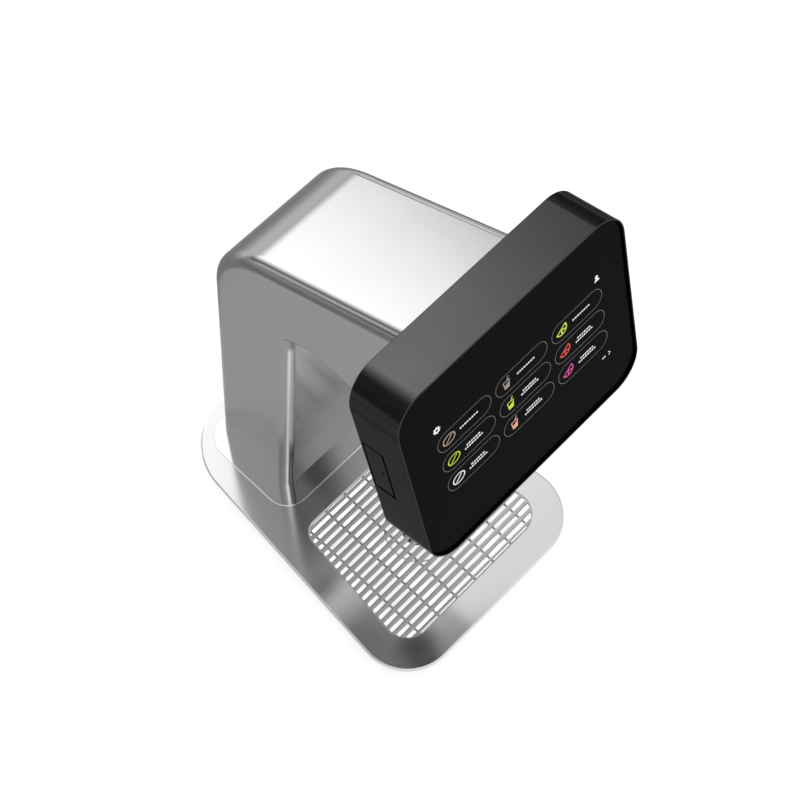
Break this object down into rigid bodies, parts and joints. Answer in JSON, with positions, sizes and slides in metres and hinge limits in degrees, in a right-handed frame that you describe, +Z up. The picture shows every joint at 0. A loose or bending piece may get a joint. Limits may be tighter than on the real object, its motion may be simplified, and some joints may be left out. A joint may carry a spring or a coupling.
{
  "type": "touch-screen drink dispenser",
  "caption": "Counter-top drink dispenser: a polished steel column and forward arm carry a tilted black touch-screen head over a nozzle and a thin brushed base with a slotted drip grille.",
  "frame": {"origin": "on the counter, under the middle of the base plate", "axes": "+Z up, the screen faces -Y, +X to the right of someone who faces the screen"},
  "size_m": [0.221, 0.2964, 0.4712],
  "materials": {
    "black_rubber": "matte black rubber",
    "frame_plastic": "moulded black plastic",
    "brushed_plate": "brushed stainless steel",
    "polished_steel": "mirror-polished stainless steel",
    "white_plastic": "smooth white plastic",
    "plain_steel": "plain stainless steel",
    "zinc_steel": "zinc-plated sheet steel",
    "brass": "turned brass",
    "blue_plastic": "blue plastic",
    "black_plastic": "moulded black plastic",
    "red_plastic": "red plastic",
    "clear_tube": "milky flexible plastic",
    "acetal": "machined natural acetal",
    "satin_black": "black anodised aluminium",
    "black_glass": "black-backed touch glass",
    "display": "display module",
    "board": "green circuit board",
    "dark_steel": "blackened steel"
  },
  "bodies": {
    "base": {"base_gasket": "black_rubber", "base_frame": "frame_plastic", "base_plate": "brushed_plate", "drip_pan": "white_plastic", "drain_bush": "plain_steel", "drain_strainer": "plain_steel", "threaded_inserts": "brass", "foot_flange": "polished_steel", "foot_screws": "plain_steel", "body_shell": "polished_steel", "chassis": "zinc_steel", "hose_bulkhead": "zinc_steel", "bulkhead_screws": "plain_steel", "concentrate_inlets": "white_plastic", "water_inlet": "blue_plastic", "power_inlet": "black_plastic", "concentrate_tubes": "clear_tube", "water_tube": "blue_plastic", "wiring_loom": "black_rubber", "valve_manifold": "acetal", "manifold_screws": "plain_steel", "valve_coils": "black_plastic", "nozzle_body": "acetal", "nozzle_collar": "black_plastic", "nozzle_seal": "black_rubber", "arm_seal": "black_rubber", "head_housing": "satin_black", "head_screws": "plain_steel", "glass_panel": "black_glass", "glass_tape": "black_rubber", "display_module": "display", "board_standoffs": "brass", "control_board": "board", "board_screws": "plain_steel", "hatch_pin": "plain_steel", "service_panel": "black_plastic", "service_board": "board", "data_port": "plain_steel"},
    "grille": {"drip_grille": "brushed_plate"},
    "hatch": {"service_hatch": "satin_black", "hatch_catch": "dark_steel"},
    "tip": {"nozzle_tip": "black_plastic"},
    "button": {"power_button": "red_plastic"}
  },
  "joints": [
    {"name": "grille_lift", "type": "slide", "parent": "base", "child": "grille", "axis": [0, 0, 1], "range_m": [0, 0.1]},
    {"name": "tip_pull", "type": "slide", "parent": "base", "child": "tip", "axis": [0, 0, -1], "range_m": [0, 0.03]},
    {"name": "hatch_swing", "type": "hinge", "parent": "base", "child": "hatch", "pos_m": [-0.1057, -0.07769, 0.38083], "axis": [0, -0.3156, -0.9489], "range_deg": [0, 90]},
    {"name": "button_press", "type": "slide", "parent": "base", "child": "button", "axis": [1, 0, 0], "range_m": [0, 0.0012], "stiffness_N_per_m": 800}
  ]
}
